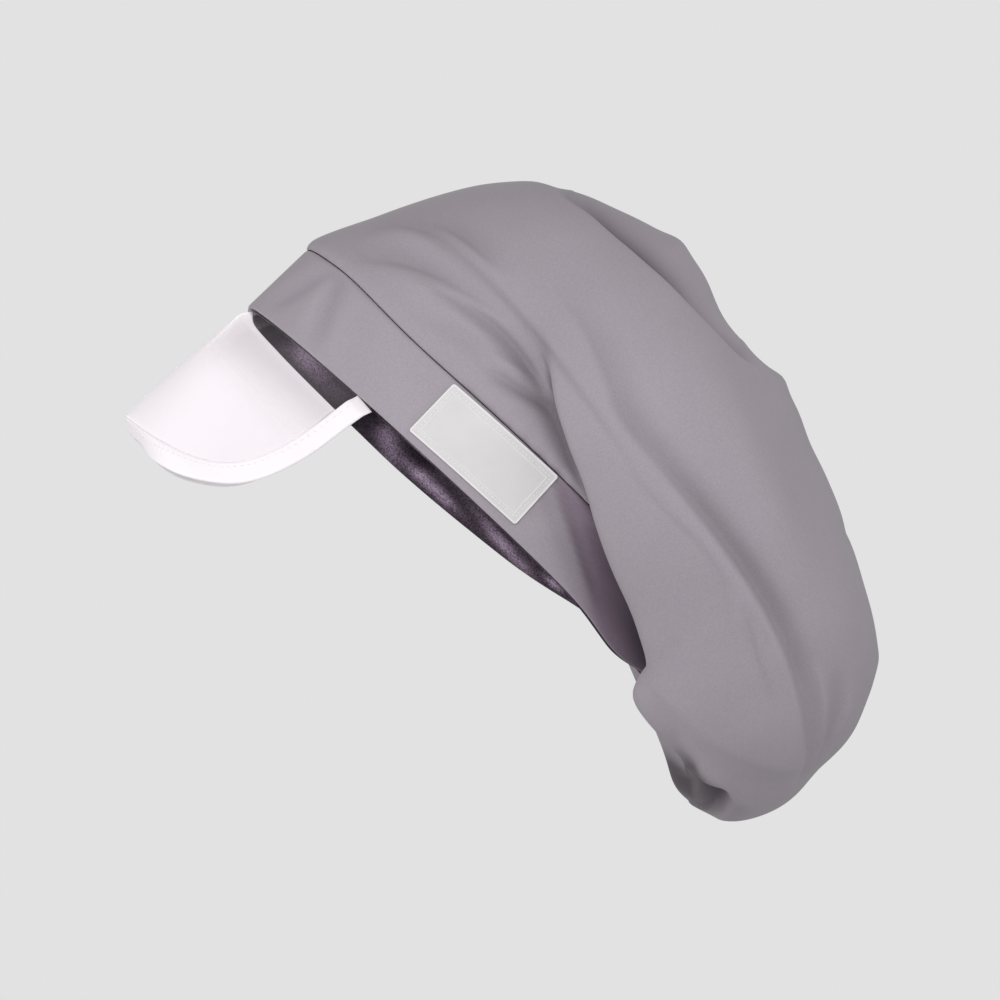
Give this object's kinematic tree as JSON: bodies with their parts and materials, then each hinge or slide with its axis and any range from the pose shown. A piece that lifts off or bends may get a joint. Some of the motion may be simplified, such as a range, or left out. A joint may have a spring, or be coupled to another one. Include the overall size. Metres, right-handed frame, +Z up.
{
  "type": "rain hat",
  "caption": "Slouchy cloth rain hat with a fitted head band, satin lining, full draped back, clear bound visor and a small side label.",
  "frame": {"origin": "centre of the head opening in the plane of the band's rim", "axes": "+Z up as worn, the visor points to -Y, the wearer's left side with the label is +X; the rim plane drops 43 degrees from forehead to nape"},
  "size_m": [0.2011, 0.285, 0.2438],
  "materials": {
    "crown_cloth": "smooth tightly woven water-repellent cloth, warm grey",
    "band_cloth": "smooth tightly woven water-repellent cloth, warm grey",
    "lining_satin": "glossy dark plum satin",
    "visor_clear": "clear bendable film, polished",
    "binding_tape": "white woven tape, stitched",
    "label": "soft light grey, satin, bare"
  },
  "bodies": {
    "root": {"crown": "crown_cloth", "band": "band_cloth", "band_lining": "lining_satin", "visor": "visor_clear", "visor_binding": "binding_tape", "label_patch": "label"}
  },
  "joints": []
}
